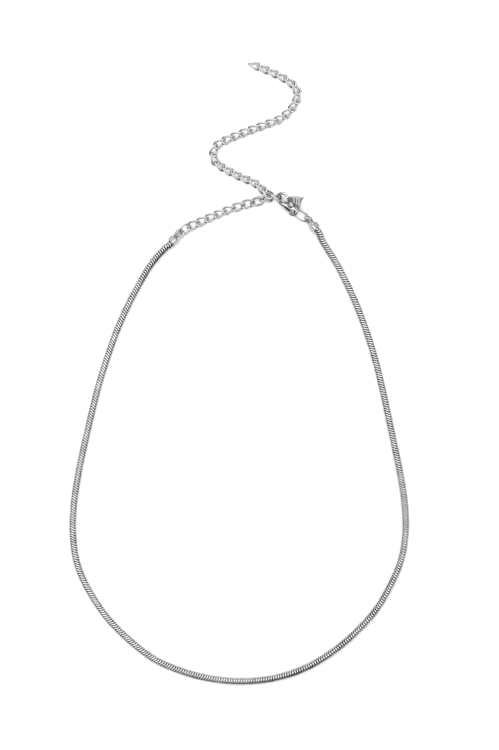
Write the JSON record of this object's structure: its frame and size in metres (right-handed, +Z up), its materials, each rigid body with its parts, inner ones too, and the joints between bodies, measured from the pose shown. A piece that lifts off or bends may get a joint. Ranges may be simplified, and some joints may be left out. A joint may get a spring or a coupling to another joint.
{
  "type": "choker",
  "caption": "Metal choker: a square snake chain closed by a lobster clasp that hooks into an extender of twisted curb links, lying flat as a closed loop.",
  "frame": {"origin": "middle of the choker's footprint, on the table it lies on", "axes": "+Z up from the table, +Y from the front of the loop towards the clasp and the extender's free end, +X to the right as seen from above"},
  "size_m": [0.0987, 0.1806, 0.0053],
  "materials": {
    "silver": "polished silver-coloured metal",
    "link_silver": "bright polished silver-coloured wire"
  },
  "bodies": {
    "necklace": {"snake_chain": "silver", "end_cap_left": "silver", "end_cap_right": "silver", "jump_ring_left": "silver", "jump_ring_right": "silver", "clasp_body": "silver", "clasp_pin": "silver", "extender_link_01": "link_silver", "extender_link_02": "link_silver", "extender_link_03": "link_silver", "extender_link_04": "link_silver", "extender_link_05": "link_silver", "extender_link_06": "link_silver", "extender_link_07": "link_silver", "extender_link_08": "link_silver", "extender_link_09": "link_silver", "extender_link_10": "link_silver", "extender_link_11": "link_silver", "extender_link_12": "link_silver", "extender_link_13": "link_silver", "extender_link_14": "link_silver", "extender_link_15": "link_silver", "extender_link_16": "link_silver", "extender_link_17": "link_silver", "extender_link_18": "link_silver", "extender_link_19": "link_silver", "extender_link_20": "link_silver", "extender_link_21": "link_silver", "extender_link_22": "link_silver", "extender_link_23": "link_silver", "extender_link_24": "link_silver", "extender_link_25": "link_silver", "extender_link_26": "link_silver", "extender_link_27": "link_silver", "extender_link_28": "link_silver", "extender_link_29": "link_silver", "extender_link_30": "link_silver", "extender_link_31": "link_silver", "extender_link_32": "link_silver", "extender_link_33": "link_silver", "extender_link_34": "link_silver", "extender_link_35": "link_silver", "extender_link_36": "link_silver"},
    "lever": {"clasp_lever": "silver"}
  },
  "joints": [
    {"name": "lever_hinge", "type": "hinge", "parent": "necklace", "child": "lever", "pos_m": [0.01493, 0.04863, 0.00233], "axis": [-0.3699, -0.289, 0.8829], "range_deg": [0, 28], "stiffness_Nm_per_rad": 0.00002}
  ]
}
